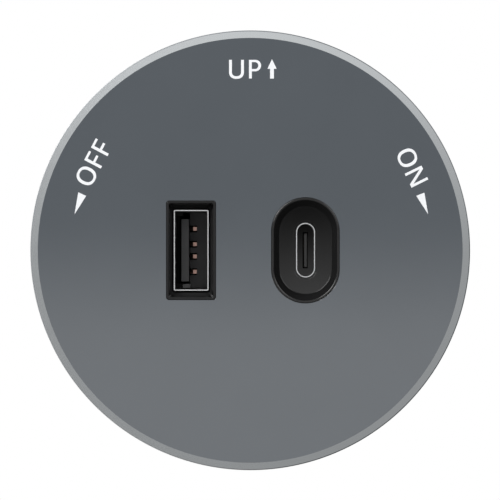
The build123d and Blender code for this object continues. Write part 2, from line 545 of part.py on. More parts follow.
def coil(s):
    """Compression spring between the arm's rib and the shoe."""
    r, wire, length, turns = 1.60, 0.25, 4.30, 5.0
    path = Helix(pitch=length / turns, height=length, radius=r, direction=(1, 0, 0))
    start = path @ 0
    tangent = path % 0
    prof = Plane(origin=start, z_dir=tangent) * Circle(wire)
    body = sweep(prof, path=path, is_frenet=True)
    body = Pos(4.70 + 0.33, 10.5, 0) * body
    return body if s > 0 else Rot(0, 180, 0) * body


parts["live_spring"] = coil(1)
parts["neutral_spring"] = coil(-1)


def lead(points, radii, r=0.75):
    path = FilletPolyline(*points, radius=radii)
    first = Vector(*points[1]) - Vector(*points[0])
    prof = Plane(origin=points[0], z_dir=first) * Circle(r)
    body = sweep(prof, path=path)
    print("lead length %.1f, volume ratio %.4f" % (path.length, body.volume / (3.14159265 * r * r * path.length)))
    return body


LY = -10.95
parts["live_lead"] = lead([(2.0, LY, 0), (7.8, LY, 0), (10.6, LY, -8.4), (7.0, LY, -16.2), (7.0, LY, -23.7)],
                          [3.6, 5.2, 7.0])
parts["neutral_lead"] = lead([(-2.0, LY, 0), (-7.8, LY, 0), (-10.6, LY, -8.4), (-7.0, LY, -16.2), (-7.0, LY, -23.7)],
                             [3.6, 5.2, 7.0])
parts["earth_lead"] = lead([(0, LY, -2.75), (0, LY, -8.6), (1.2, LY, -13.6), (0, LY, -18.6), (0, LY, -24.3)],
                           [8.0, 8.0, 8.0])

# ---------------------------------------------------------------- seat (stays still in the track)
seat = turned(
    (5.05, -6.5), (5.55, Y_BARREL), (7.6, Y_BARREL), (7.6, -3.2), (10.2, -3.2), (10.2, Y_BARREL),
    (R_BARREL - 0.15, Y_BARREL), (R_BARREL, Y_BARREL + 0.15), (R_BARREL, -6.62), (R_BARREL - 0.75, -6.62),
    (R_BARREL - 0.75, -5.78), (R_BARREL, -5.78), (R_BARREL, -T_SEAT), (R_SEAT - 0.4, -T_SEAT),
    (R_SEAT, -T_SEAT + 0.4), (R_SEAT, -0.4), (R_SEAT - 0.4, 0), (5.45, 0), (5.05, -0.4))
for s in (-1, 1):
    key = block(s * 5.70, s * 13.20, -0.5, KEY_DEPTH, -KEY_W / 2, KEY_W / 2)
    key = chamfer(key.edges().group_by(Axis.Y)[-1], 0.6)
    key -= block(s * 7.0, s * 11.9, 1.0, KEY_DEPTH + 1, -KEY_W / 2 + 1.3, KEY_W / 2 - 1.3)   # cored
    seat += key
seat += prism(sector(16.3, 20.0, LUG_AT - LUG_A, LUG_AT + LUG_A), Y_RECESS - 1.15, -T_SEAT + 0.2)
# shallow rings that take the wear against the track
seat -= tube(20.6, 20.0, -0.22, 1)
seat -= tube(15.6, 15.0, -0.22, 1)
parts["track_seat"] = seat

clip = tube(14.9, R_BARREL - 0.70, -6.60, -5.80)
clip -= prism(sector(10.0, 16.0, 72, 108), -8, -5)
parts["seat_clip"] = clip

# bowed washer between the clip and the rear shell's hub
WY, WB, WT = -5.10, 0.42, 0.25
w1 = Edge.make_three_point_arc((-16.0, WY - WB, 0), (0, WY + WB, 0), (16.0, WY - WB, 0))
w2 = Edge.make_three_point_arc((-16.0, WY - WB - WT, 0), (0, WY + WB - WT, 0), (16.0, WY - WB - WT, 0))
band = make_face([w1, Edge.make_line((16.0, WY - WB, 0), (16.0, WY - WB - WT, 0)), w2,
                  Edge.make_line((-16.0, WY - WB - WT, 0), (-16.0, WY - WB, 0))])
bowed = Pos(0, 0, -20) * extrude(band, amount=40)
washer = bowed & tube(15.0, R_BARREL + 0.15, -9, -3)
parts["spring_washer"] = washer

# ---------------------------------------------------------------- write
os.makedirs("parts", exist_ok=True)
for name, shape in parts.items():
    export_step(shape, "parts/%s.step" % name)
print(len(parts), "nodes")
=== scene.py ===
import math

import bmesh
import bpy
from mathutils import Matrix, Vector


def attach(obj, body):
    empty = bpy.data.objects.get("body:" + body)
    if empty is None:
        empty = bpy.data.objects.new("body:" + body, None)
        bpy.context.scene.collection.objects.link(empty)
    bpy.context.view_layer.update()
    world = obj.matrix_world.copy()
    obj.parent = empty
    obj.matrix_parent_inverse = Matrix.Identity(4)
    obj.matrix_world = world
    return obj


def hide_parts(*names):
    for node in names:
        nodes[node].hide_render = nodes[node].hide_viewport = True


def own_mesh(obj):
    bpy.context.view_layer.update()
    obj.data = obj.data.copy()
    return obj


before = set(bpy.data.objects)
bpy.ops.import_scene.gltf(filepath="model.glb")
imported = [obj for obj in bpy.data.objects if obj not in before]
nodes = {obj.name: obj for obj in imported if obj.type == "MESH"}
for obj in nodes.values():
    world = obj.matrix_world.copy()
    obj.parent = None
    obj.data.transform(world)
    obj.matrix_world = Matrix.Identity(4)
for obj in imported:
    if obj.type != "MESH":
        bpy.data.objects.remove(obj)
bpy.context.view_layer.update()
MM = 0.001

# ---------------------------------------------------------------- sizes shared with the construction, in millimetres
R_OUT, R_FACE, R_CHAMFER = 35.70, 34.43, 35.54
Y_FACE, Y_PLATE_BACK, Y_SKIRT = -30.00, -28.40, -24.35
X_A, A_W, A_H = -9.59, 8.02, 16.05
X_C, C_W, C_H = 8.95, 11.05, 17.14


def lin(r, g, b):
    """A colour given as 8-bit sRGB, as linear values."""
    out = []
    for c in (r, g, b):
        c /= 255.0
        out.append(c / 12.92 if c <= 0.04045 else ((c + 0.055) / 1.055) ** 2.4)
    return tuple(out)


# ---------------------------------------------------------------- materials
def node_tree(name):
    m = bpy.data.materials.new(name)
    m.use_nodes = True
    t = m.node_tree
    t.nodes.clear()
    out = t.nodes.new("ShaderNodeOutputMaterial")
    bsdf = t.nodes.new("ShaderNodeBsdfPrincipled")
    t.links.new(bsdf.outputs["BSDF"], out.inputs["Surface"])
    return m, t, bsdf


def coords(t, scale=(1, 1, 1), rotation=(0, 0, 0)):
    """Object coordinates in millimetres, stretched by scale."""
    tc = t.nodes.new("ShaderNodeTexCoord")
    mp = t.nodes.new("ShaderNodeMapping")
    mp.inputs["Scale"].default_value = [s / MM for s in scale]
    mp.inputs["Rotation"].default_value = rotation
    t.links.new(tc.outputs["Object"], mp.inputs["Vector"])
    return mp.outputs["Vector"]


def noise(t, vec, size, detail=3.0, roughness=0.55, distortion=0.0):
    n = t.nodes.new("ShaderNodeTexNoise")
    n.inputs["Scale"].default_value = 1.0 / size
    n.inputs["Detail"].default_value = detail
    n.inputs["Roughness"].default_value = roughness
    n.inputs["Distortion"].default_value = distortion
    t.links.new(vec, n.inputs["Vector"])
    return n.outputs["Fac"]


def remap(t, value, lo, hi, a, b, smooth=False):
    n = t.nodes.new("ShaderNodeMapRange")
    n.interpolation_type = "SMOOTHSTEP" if smooth else "LINEAR"
    n.inputs["From Min"].default_value = lo
    n.inputs["From Max"].default_value = hi
    n.inputs["To Min"].default_value = a
    n.inputs["To Max"].default_value = b
    t.links.new(value, n.inputs["Value"])
    return n.outputs["Result"]


def math_node(t, op, a, b=None):
    n = t.nodes.new("ShaderNodeMath")
    n.operation = op
    for i, v in enumerate((a, b)):
        if v is None:
            continue
        if isinstance(v, (int, float)):
            n.inputs[i].default_value = v
        else:
            t.links.new(v, n.inputs[i])
    return n.outputs[0]


def mix_colour(t, fac, a, b):
    n = t.nodes.new("ShaderNodeMix")
    n.data_type = "RGBA"
    if isinstance(fac, (int, float)):
        n.inputs["Factor"].default_value = fac
    else:
        t.links.new(fac, n.inputs["Factor"])
    for key, v in (("A", a), ("B", b)):
        sock = [s for s in n.inputs if s.name == key and s.type == "RGBA"][0]
        if isinstance(v, tuple):
            sock.default_value = (*v, 1.0)
        else:
            t.links.new(v, sock)
    return [s for s in n.outputs if s.type == "RGBA"][0]


def bump(t, height, distance_mm, normal=None, strength=1.0):
    n = t.nodes.new("ShaderNodeBump")
    n.inputs["Strength"].default_value = strength
    n.inputs["Distance"].default_value = distance_mm * MM
    t.links.new(height, n.inputs["Height"])
    if normal is not None:
        t.links.new(normal, n.inputs["Normal"])
    return n.outputs["Normal"]


def edge_fac(t, width_mm, samples=4):
    """1 near convex edges: how far a bevelled normal leaves the true one."""
    b = t.nodes.new("ShaderNodeBevel")
    b.samples = samples
    b.inputs["Radius"].default_value = width_mm * MM
    g = t.nodes.new("ShaderNodeNewGeometry")
    d = t.nodes.new("ShaderNodeVectorMath")
    d.operation = "DOT_PRODUCT"
    t.links.new(b.outputs["Normal"], d.inputs[0])
    t.links.new(g.outputs["Normal"], d.inputs[1])
    return remap(t, d.outputs["Value"], 1.0, 0.90, 0.0, 1.0)


def plain(name, colour, rough, metal=0.0, ior=1.5, vary=0.07, vary_size=3.0, rough_vary=0.06,
          grain=0.004, grain_size=0.12, stretch=(1, 1, 1), coat=0.0, coat_rough=0.08, coat_ior=1.5, detail=3.0):
    """A finish with cloudy colour and roughness and a fine grain. Sizes are in millimetres."""
    m, t, b = node_tree(name)
    vec = coords(t)
    cloud = noise(t, vec, vary_size, detail)
    dark = tuple(c * (1 - vary) for c in colour)
    light = tuple(min(1.0, c * (1 + vary)) for c in colour)
    t.links.new(mix_colour(t, remap(t, cloud, 0.3, 0.7, 0, 1), dark, light), b.inputs["Base Color"])
    fine = noise(t, coords(t, stretch), grain_size, 2.0)
    r = remap(t, math_node(t, "ADD", math_node(t, "MULTIPLY", cloud, 0.6), math_node(t, "MULTIPLY", fine, 0.4)),
              0.3, 0.7, max(0.02, rough - rough_vary), min(1.0, rough + rough_vary))
    t.links.new(r, b.inputs["Roughness"])
    if grain:
        t.links.new(bump(t, fine, grain), b.inputs["Normal"])
    b.inputs["Metallic"].default_value = metal
    b.inputs["IOR"].default_value = ior
    if coat:
        b.inputs["Coat Weight"].default_value = coat
        b.inputs["Coat Roughness"].default_value = coat_rough
        b.inputs["Coat IOR"].default_value = coat_ior
    return m


# dark grey anodising: the face is flat and glossy, the turned wall round it is satin
def face_material(name, smooth, coarse):
    m, t, b = node_tree(name)
    vec = coords(t)
    cloud = noise(t, vec, 9.0, 3.0)
    base = (0.0985, 0.1105, 0.1235)
    t.links.new(mix_colour(t, remap(t, cloud, 0.3, 0.7, 0, 1), tuple(c * 0.985 for c in base),
                           tuple(c * 1.015 for c in base)), b.inputs["Base Color"])
    fine = noise(t, vec, 0.09, 2.0)
    t.links.new(remap(t, fine, 0.3, 0.7, smooth, coarse), b.inputs["Roughness"])
    b.inputs["IOR"].default_value = 1.70
    return m


# chamfer: cut bright with a single-point tool, in rings about the axis
def bright_material():
    m, t, b = node_tree("bright_cut_edge")
    vec = coords(t)
    sep = t.nodes.new("ShaderNodeSeparateXYZ")
    t.links.new(vec, sep.inputs[0])
    rad = math_node(t, "SQRT", math_node(t, "ADD", math_node(t, "MULTIPLY", sep.outputs[0], sep.outputs[0]),
                                         math_node(t, "MULTIPLY", sep.outputs[2], sep.outputs[2])))
    comb = t.nodes.new("ShaderNodeCombineXYZ")
    t.links.new(rad, comb.inputs[0])
    rings = noise(t, comb.outputs[0], 0.035, 2.0)
    cloud = noise(t, vec, 2.0, 2.0)
    base = (0.79, 0.825, 0.845)
    t.links.new(mix_colour(t, remap(t, rings, 0.3, 0.7, 0, 1), tuple(c * 0.97 for c in base),
                           tuple(c * 1.02 for c in base)), b.inputs["Base Color"])
    t.links.new(remap(t, cloud, 0.3, 0.7, 0.15, 0.18), b.inputs["Roughness"])
    b.inputs["Metallic"].default_value = 1.0
    t.links.new(bump(t, rings, 0.00015), b.inputs["Normal"])
    return m


def ink_material():
    m, t, b = node_tree("legend_ink")
    vec = coords(t)
    cloud = noise(t, vec, 0.5, 3.0)
    t.links.new(mix_colour(t, remap(t, cloud, 0.3, 0.7, 0, 1), (0.86, 0.875, 0.90), (0.90, 0.915, 0.935)),
                b.inputs["Base Color"])
    t.links.new(remap(t, cloud, 0.3, 0.7, 0.45, 0.6), b.inputs["Roughness"])
    t.links.new(bump(t, noise(t, vec, 0.06, 2.0), 0.0006), b.inputs["Normal"])
    return m


def moulded(name, colour, rough, texture=0.006, size=0.16, wear=0.35, edge=0.12, ior=1.46):
    """Spark-eroded moulded plastic: a pitted texture, cloudy gloss, edges rubbed a little smoother and lighter."""
    m, t, b = node_tree(name)
    vec = coords(t)
    cloud = noise(t, vec, 7.0, 3.0)
    pits = t.nodes.new("ShaderNodeTexVoronoi")
    pits.inputs["Scale"].default_value = 1.0 / size
    t.links.new(vec, pits.inputs["Vector"])
    fine = noise(t, vec, size * 0.6, 3.0)
    height = math_node(t, "ADD", math_node(t, "MULTIPLY", pits.outputs["Distance"], 0.6),
                       math_node(t, "MULTIPLY", fine, 0.7))
    edge_w = edge_fac(t, edge)
    tone = mix_colour(t, remap(t, cloud, 0.3, 0.7, 0, 1), tuple(c * 0.93 for c in colour),
                      tuple(c * 1.07 for c in colour))
    worn = tuple(min(1.0, c * 1.35 + 0.004) for c in colour)
    t.links.new(mix_colour(t, math_node(t, "MULTIPLY", edge_w, wear), tone, worn), b.inputs["Base Color"])
    r = remap(t, cloud, 0.3, 0.7, rough - 0.05, rough + 0.05)
    r = math_node(t, "SUBTRACT", r, math_node(t, "MULTIPLY", edge_w, 0.10))
    t.links.new(r, b.inputs["Roughness"])
    b.inputs["IOR"].default_value = ior
    t.links.new(bump(t, height, texture), b.inputs["Normal"])
    return m


def port_moulded(name, deep, front, y_front, ior, y_painted_black=0.0, wear=0.0, edge=0.05, painted_shading_greys=None, along=0):
    """Polished tool finish, rubbed duller where it is nearest the front. deep and front are (colour, roughness);
    y_front is where the one turns into the other, in millimetres. Behind a given depth the recess is painted near
    black and rough: painted shade.
    An optional list of (position, grey) pairs sets the deep colour along an axis (0 or 1) instead: painted shade and
    painted light across the port."""
    m, t, b = node_tree(name)
    vec = coords(t)
    sep = t.nodes.new("ShaderNodeSeparateXYZ")
    t.links.new(vec, sep.inputs[0])
    cloud = noise(t, vec, 1.8, 3.0)
    fine = noise(t, vec, 0.05, 2.0)
    at_front = remap(t, sep.outputs[1], y_front - 0.05, y_front + 0.05, 1.0, 0.0)
    low = deep[0]
    # painted shade and painted light: the deep colour follows a listed ramp of greys along one axis, standing in for
    # how light falls into the port
    if painted_shading_greys:
        x0, x1 = painted_shading_greys[0][0], painted_shading_greys[-1][0]
        ramp = t.nodes.new("ShaderNodeValToRGB")
        for i, (x, grey) in enumerate(painted_shading_greys):
            el = ramp.color_ramp.elements[i] if i < 2 else ramp.color_ramp.elements.new((x - x0) / (x1 - x0))
            el.position = (x - x0) / (x1 - x0)
            el.color = (grey, grey, grey * 1.03, 1.0)
        t.links.new(remap(t, sep.outputs[along], x0, x1, 0.0, 1.0), ramp.inputs[0])
        low = ramp.outputs[0]
    tone = mix_colour(t, at_front, low, front[0])
    tone = mix_colour(t, remap(t, cloud, 0.3, 0.7, 0.0, 0.10), tone, (0.0, 0.0, 0.0))
    rough = remap(t, at_front, 0.0, 1.0, deep[1], front[1])
    # edges lightened towards a pale grey: partly rubbed wear, partly a painted highlight along the convex edges
    if wear:
        worn = math_node(t, "MULTIPLY", edge_fac(t, edge), wear)
        tone = mix_colour(t, worn, tone, (0.045, 0.045, 0.047))
    # painted shade: behind the given depth the recess is painted near black and made rougher
    if y_painted_black:
        painted_black_mask = remap(t, sep.outputs[1], y_painted_black - 0.02, y_painted_black + 0.02, 0.0, 1.0)
        tone = mix_colour(t, painted_black_mask, tone, (0.0008, 0.0008, 0.0008))
        rough = math_node(t, "ADD", rough, math_node(t, "MULTIPLY", painted_black_mask, 0.65))
    t.links.new(tone, b.inputs["Base Color"])
    t.links.new(math_node(t, "ADD", rough, remap(t, fine, 0.3, 0.7, -0.012, 0.012)), b.inputs["Roughness"])
    b.inputs["IOR"].default_value = ior
    t.links.new(bump(t, fine, 0.00004), b.inputs["Normal"])
    return m


def brushed(name, colour, rough, stretch=(1, 14, 1), size=0.5, depth=0.0015, metal=1.0, vary=1.0):
    """Metal with drawn or rolled lines along one axis."""
    m, t, b = node_tree(name)
    lines = noise(t, coords(t, stretch), size, 4.0, 0.65)
    cloud = noise(t, coords(t), 1.6, 3.0)
    t.links.new(mix_colour(t, remap(t, lines, 0.3, 0.7, 0, 1), tuple(c * (1 - 0.10 * vary) for c in colour),
                           tuple(min(1.0, c * (1 + 0.06 * vary)) for c in colour)), b.inputs["Base Color"])
    mixed = math_node(t, "ADD", math_node(t, "MULTIPLY", lines, 0.5), math_node(t, "MULTIPLY", cloud, 0.5))
    t.links.new(remap(t, mixed, 0.3, 0.7, max(0.03, rough - 0.07 * vary), rough + 0.09 * vary), b.inputs["Roughness"])
    b.inputs["Metallic"].default_value = metal
    t.links.new(bump(t, lines, depth), b.inputs["Normal"])
    return m


def plated_strip(name, cut, plate, rough_cut, rough_plate):
    """Plated strip: its faces are plated and duller, its sheared edges, which face along Y, are bare and bright."""
    m, t, b = node_tree(name)
    g = t.nodes.new("ShaderNodeNewGeometry")
    sep = t.nodes.new("ShaderNodeSeparateXYZ")
    t.links.new(g.outputs["True Normal"], sep.inputs[0])
    edge = remap(t, math_node(t, "ABSOLUTE", sep.outputs[1]), 0.5, 0.8, 0.0, 1.0)
    lines = noise(t, coords(t, (1, 1, 8)), 0.35, 4.0, 0.65)
    t.links.new(mix_colour(t, edge, tuple(c * 0.97 for c in plate), tuple(c * 0.98 for c in cut)),
                b.inputs["Base Color"])
    t.links.new(math_node(t, "ADD", remap(t, edge, 0, 1, rough_plate, rough_cut),
                          remap(t, lines, 0.3, 0.7, -0.01, 0.01)), b.inputs["Roughness"])
    b.inputs["Metallic"].default_value = 1.0
    t.links.new(bump(t, lines, 0.00001), b.inputs["Normal"])
    return m


def board_material():
    """Green solder mask over copper tracks."""
    m, t, b = node_tree("board_laminate")
    vec = coords(t)
    brick = t.nodes.new("ShaderNodeTexBrick")
    brick.inputs["Scale"].default_value = 0.42
    brick.inputs["Mortar Size"].default_value = 0.16
    brick.inputs["Mortar Smooth"].default_value = 0.02
    brick.inputs["Color1"].default_value = (0, 0, 0, 1)
    brick.inputs["Color2"].default_value = (0, 0, 0, 1)
    brick.inputs["Mortar"].default_value = (1, 1, 1, 1)
    sep = t.nodes.new("ShaderNodeSeparateXYZ")
    t.links.new(vec, sep.inputs[0])
    comb = t.nodes.new("ShaderNodeCombineXYZ")
    t.links.new(sep.outputs[0], comb.inputs[0])
    t.links.new(sep.outputs[2], comb.inputs[1])
    t.links.new(comb.outputs[0], brick.inputs["Vector"])
    tracks = math_node(t, "MULTIPLY", brick.outputs["Color"], remap(t, noise(t, vec, 6.0, 1.0), 0.48, 0.50, 0, 1))
    tone = mix_colour(t, tracks, (0.016, 0.105, 0.045), (0.035, 0.19, 0.075))
    t.links.new(tone, b.inputs["Base Color"])
    t.links.new(remap(t, noise(t, vec, 0.4, 3.0), 0.3, 0.7, 0.28, 0.42), b.inputs["Roughness"])
    height = math_node(t, "ADD", tracks, math_node(t, "MULTIPLY", noise(t, vec, 0.3, 2.0), 0.2))
    t.links.new(bump(t, height, 0.02), b.inputs["Normal"])
    return m


def wound(name, colour_a, colour_b, axis, pitch, rough, metal=0.0, depth=0.05):
    """Turns of wire or tape: even grooves along an axis (0, 1 or 2)."""
    m, t, b = node_tree(name)
    vec = coords(t)
    wave = t.nodes.new("ShaderNodeTexWave")
    wave.wave_type = "BANDS"
    wave.bands_direction = "XYZ"[axis]
    wave.inputs["Scale"].default_value = 0.314 / pitch
    wave.inputs["Distortion"].default_value = 0.25
    wave.inputs["Detail"].default_value = 1.5
    wave.inputs["Detail Scale"].default_value = 0.6
    t.links.new(vec, wave.inputs["Vector"])
    t.links.new(mix_colour(t, wave.outputs["Fac"], colour_a, colour_b), b.inputs["Base Color"])
    t.links.new(remap(t, noise(t, vec, 0.8, 2.0), 0.3, 0.7, rough - 0.05, rough + 0.05), b.inputs["Roughness"])
    b.inputs["Metallic"].default_value = metal
    t.links.new(bump(t, wave.outputs["Fac"], depth), b.inputs["Normal"])
    return m


def sleeve_material():
    """Shrink sleeve on a can, with a pale stripe down one side of each, and the bare aluminium top."""
    m, t, b = node_tree("capacitor_sleeve")
    vec = coords(t)
    sep = t.nodes.new("ShaderNodeSeparateXYZ")
    t.links.new(vec, sep.inputs[0])
    g = t.nodes.new("ShaderNodeNewGeometry")
    gs = t.nodes.new("ShaderNodeSeparateXYZ")
    t.links.new(g.outputs["Normal"], gs.inputs[0])
    top = remap(t, gs.outputs[1], -0.80, -0.70, 1.0, 0.0)
    stripe = remap(t, gs.outputs[2], 0.72, 0.76, 0.0, 1.0)
    body = mix_colour(t, stripe, (0.012, 0.016, 0.03), (0.42, 0.43, 0.45))
    t.links.new(mix_colour(t, top, body, (0.72, 0.73, 0.74)), b.inputs["Base Color"])
    t.links.new(top, b.inputs["Metallic"])
    t.links.new(remap(t, noise(t, vec, 1.2, 3.0), 0.3, 0.7, 0.22, 0.34), b.inputs["Roughness"])
    t.links.new(bump(t, noise(t, vec, 0.9, 3.0), 0.01), b.inputs["Normal"])
    return m


FACE = face_material("anodised_face", 0.038, 0.050)
WALL = face_material("anodised_wall", 0.24, 0.30)
BRIGHT = bright_material()
INK = ink_material()
shell_m = moulded("shell_plastic", lin(62, 66, 70), 0.52)
back_m = moulded("rear_shell_plastic", lin(58, 62, 66), 0.55)
# both port frames: their edges are lightened, partly rubbed wear and partly a painted highlight
insert_c_m = port_moulded("insert_plastic", ((0.0088, 0.0088, 0.0090), 0.06), ((0.0015, 0.0015, 0.0018), 0.18), -29.93,
                          1.67, wear=0.10)
# painted light: the funnel is painted lighter the deeper it lies, making up for the shade that falls there
insert_a_m = port_moulded("insert_plastic_fine", ((0.0100, 0.0100, 0.0102), 0.35), ((0.019, 0.019, 0.0195), 0.20),
                          -29.93, 1.27, wear=0.10, along=1,
                          painted_shading_greys=((-29.8, 0.002), (-29.0, 0.007), (-28.0, 0.026), (-26.0, 0.10), (-25.0, 0.14)))
# painted shade: dark beside the tongue and lighter towards the right; behind y = -17.40 painted near black
port_plastic_m = port_moulded("port_plastic", ((0.040, 0.040, 0.041), 0.50), ((0.049, 0.049, 0.050), 0.50), -25.2,
                              1.35, y_painted_black=-17.40,
                              painted_shading_greys=((X_A - 0.90, 0.006), (X_A - 0.80, 0.088), (X_A + 2.60, 0.150)))
# painted shade: behind y = -18.80 painted near black
tab_plastic_m = port_moulded("tab_plastic", ((0.0010, 0.0010, 0.0012), 0.03), ((0.004, 0.004, 0.0045), 0.50), -24.6,
                             1.70, y_painted_black=-18.80)
port_steel_m = plated_strip("port_steel", (0.96, 0.97, 0.98), (0.74, 0.74, 0.75), 0.27, 0.35)
contact_copper_m = brushed("contact_copper", (0.50, 0.315, 0.265), 0.30, (8, 8, 1), 0.3, 0.0003, metal=0.75, vary=0.5)
contact_gold_m = brushed("contact_gold", (0.86, 0.62, 0.26), 0.22, (8, 1, 8), 0.3, 0.0005)
screw_m = brushed("screw_steel", (0.56, 0.57, 0.58), 0.30, (6, 1, 6), 0.3, 0.001)
spring_m = brushed("spring_steel", (0.58, 0.58, 0.59), 0.26, (1, 1, 1), 0.25, 0.0008)
shoe_m = brushed("shoe_copper", (0.80, 0.44, 0.28), 0.24, (1, 10, 1), 0.5, 0.0012)
strip_m = brushed("strip_copper", (0.78, 0.46, 0.30), 0.30, (12, 1, 12), 0.5, 0.0012)
neck_m = moulded("neck_plastic", (0.0105, 0.0108, 0.0115), 0.46, texture=0.004, size=0.14, wear=0.4)
seat_m = moulded("seat_plastic", lin(150, 153, 156), 0.50, texture=0.005, size=0.15, wear=0.15)
adhesive_m = plain("adhesive_film", (0.62, 0.63, 0.60), 0.55, vary=0.05, vary_size=2.0, grain=0.004, grain_size=0.5)
ferrite_m = plain("ferrite", (0.035, 0.034, 0.036), 0.55, vary=0.15, vary_size=0.8, grain=0.012, grain_size=0.15)
bobbin_m = plain("bobbin_plastic", (0.014, 0.013, 0.012), 0.40, vary=0.1, grain=0.003)
tape_m = wound("winding_tape", (0.50, 0.34, 0.03), (0.72, 0.52, 0.06), 1, 2.2, 0.30, depth=0.03)
wire_m = wound("enamelled_wire", (0.30, 0.085, 0.03), (0.62, 0.24, 0.09), 1, 0.35, 0.28, metal=0.8, depth=0.06)
board_m = board_material()
film_m = plain("film_case", (0.60, 0.42, 0.05), 0.36, vary=0.05, grain=0.003, grain_size=0.2)
disc_m = plain("disc_lacquer", (0.012, 0.07, 0.30), 0.22, vary=0.10, vary_size=1.5, grain=0.02, grain_size=0.9, coat=0.5)
fuse_m = plain("fuse_case", (0.010, 0.010, 0.010), 0.30, vary=0.1, grain=0.002)
chip_m = plain("chip_plastic", (0.012, 0.012, 0.0125), 0.50, vary=0.12, vary_size=0.6, grain=0.004, grain_size=0.08)
inductor_m = plain("inductor_composite", (0.045, 0.045, 0.048), 0.58, vary=0.2, vary_size=0.5, grain=0.015, grain_size=0.18)
sleeve_m = sleeve_material()
brass_m = brushed("terminal_brass", (0.72, 0.70, 0.62), 0.30, (8, 1, 8), 0.3, 0.001)
brown_m = plain("lead_brown", (0.10, 0.032, 0.012), 0.38, vary=0.08, grain=0.003)
blue_m = plain("lead_blue", (0.015, 0.06, 0.34), 0.38, vary=0.08, grain=0.003)
green_m = plain("lead_green", (0.05, 0.26, 0.04), 0.38, vary=0.08, grain=0.003)

finish = {
    "front_shell": shell_m, "rear_shell": back_m, "usb_a_frame": insert_a_m, "usb_c_frame": insert_c_m,
    "usb_a_shell": port_steel_m, "usb_c_shell": port_steel_m, "usb_a_insulator": port_plastic_m,
    "usb_c_insulator": tab_plastic_m, "usb_a_contacts": contact_copper_m, "usb_c_contacts": contact_gold_m,
    "face_adhesive": adhesive_m, "housing_screws": screw_m, "board_screws": screw_m, "neck_screws": screw_m,
    "main_board": board_m, "transformer_core": ferrite_m, "transformer_bobbin": bobbin_m,
    "transformer_winding": tape_m, "bulk_capacitors": sleeve_m, "output_capacitors": sleeve_m,
    "x_capacitor": film_m, "y_capacitor": disc_m, "varistor": disc_m, "choke_core": ferrite_m,
    "choke_winding": wire_m, "fuse": fuse_m, "bridge_rectifier": chip_m, "controller_chips": chip_m,
    "output_inductor": inductor_m, "terminals": brass_m, "live_lead": brown_m, "neutral_lead": blue_m,
    "earth_lead": green_m, "neck": neck_m, "neck_cover": neck_m, "live_strip": strip_m, "neutral_strip": strip_m,
    "earth_contact": strip_m, "live_shoe": shoe_m, "neutral_shoe": shoe_m, "live_spring": spring_m,
    "neutral_spring": spring_m, "track_seat": seat_m, "seat_clip": spring_m, "spring_washer": spring_m,
    "face_plate": FACE,
}
for name, o in nodes.items():
    o.data.materials.clear()
    o.data.materials.append(finish[name])


# ---------------------------------------------------------------- mesh helpers (outlines are (x, z) in millimetres)
def arc(cx, cz, rx, rz, a0, a1, n):
    return [(cx + rx * math.cos(math.radians(a0 + (a1 - a0) * i / n)),
             cz + rz * math.sin(math.radians(a0 + (a1 - a0) * i / n))) for i in range(n + 1)]


def rounded_box(cx, cz, w, h, r, n=10):
    x, z = w / 2 - r, h / 2 - r
    return (arc(cx + x, cz + z, r, r, 0, 90, n) + arc(cx - x, cz + z, r, r, 90, 180, n)
            + arc(cx - x, cz - z, r, r, 180, 270, n) + arc(cx + x, cz - z, r, r, 270, 360, n))


def stadium(cx, cz, w, h, n=48):
    r = w / 2
    return arc(cx, cz + h / 2 - r, r, r, 0, 180, n) + arc(cx, cz - h / 2 + r, r, r, 180, 360, n)


def circle(r, n=256):
    return arc(0, 0, r, r, 0, 360, n)[:-1]


def new_piece(name, bm, mats, body="housing", smooth_angle=32):
    me = bpy.data.meshes.new(name)
    bm.to_mesh(me)
    bm.free()
    o = bpy.data.objects.new(name, me)
    bpy.context.scene.collection.objects.link(o)
    for m in mats:
        me.materials.append(m)
    me.polygons.foreach_set("use_smooth", [True] * len(me.polygons))
    me.set_sharp_from_angle(angle=math.radians(smooth_angle))
    me.update()
    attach(o, body)
    return o


def ring(bm, pts, y):
    return [bm.verts.new((x * MM, y * MM, z * MM)) for x, z in pts]


def loop_edges(bm, ring_verts):
    out = []
    for i, v in enumerate(ring_verts):
        w = ring_verts[(i + 1) % len(ring_verts)]
        out.append(bm.edges.get((v, w)) or bm.edges.new((v, w)))
    return out


def bridge(bm, a, b, mat=0):
    n = len(a)
    for i in range(n):
        j = (i + 1) % n
        bm.faces.new((a[i], a[j], b[j], b[i])).material_index = mat


def fill(bm, loops, normal, mat=0):
    edges = [e for l in loops for e in loop_edges(bm, l)]
    made = bmesh.ops.triangle_fill(bm, use_beauty=True, use_dissolve=False, edges=edges, normal=normal)
    for f in made["geom"]:
        if isinstance(f, bmesh.types.BMFace):
            f.material_index = mat


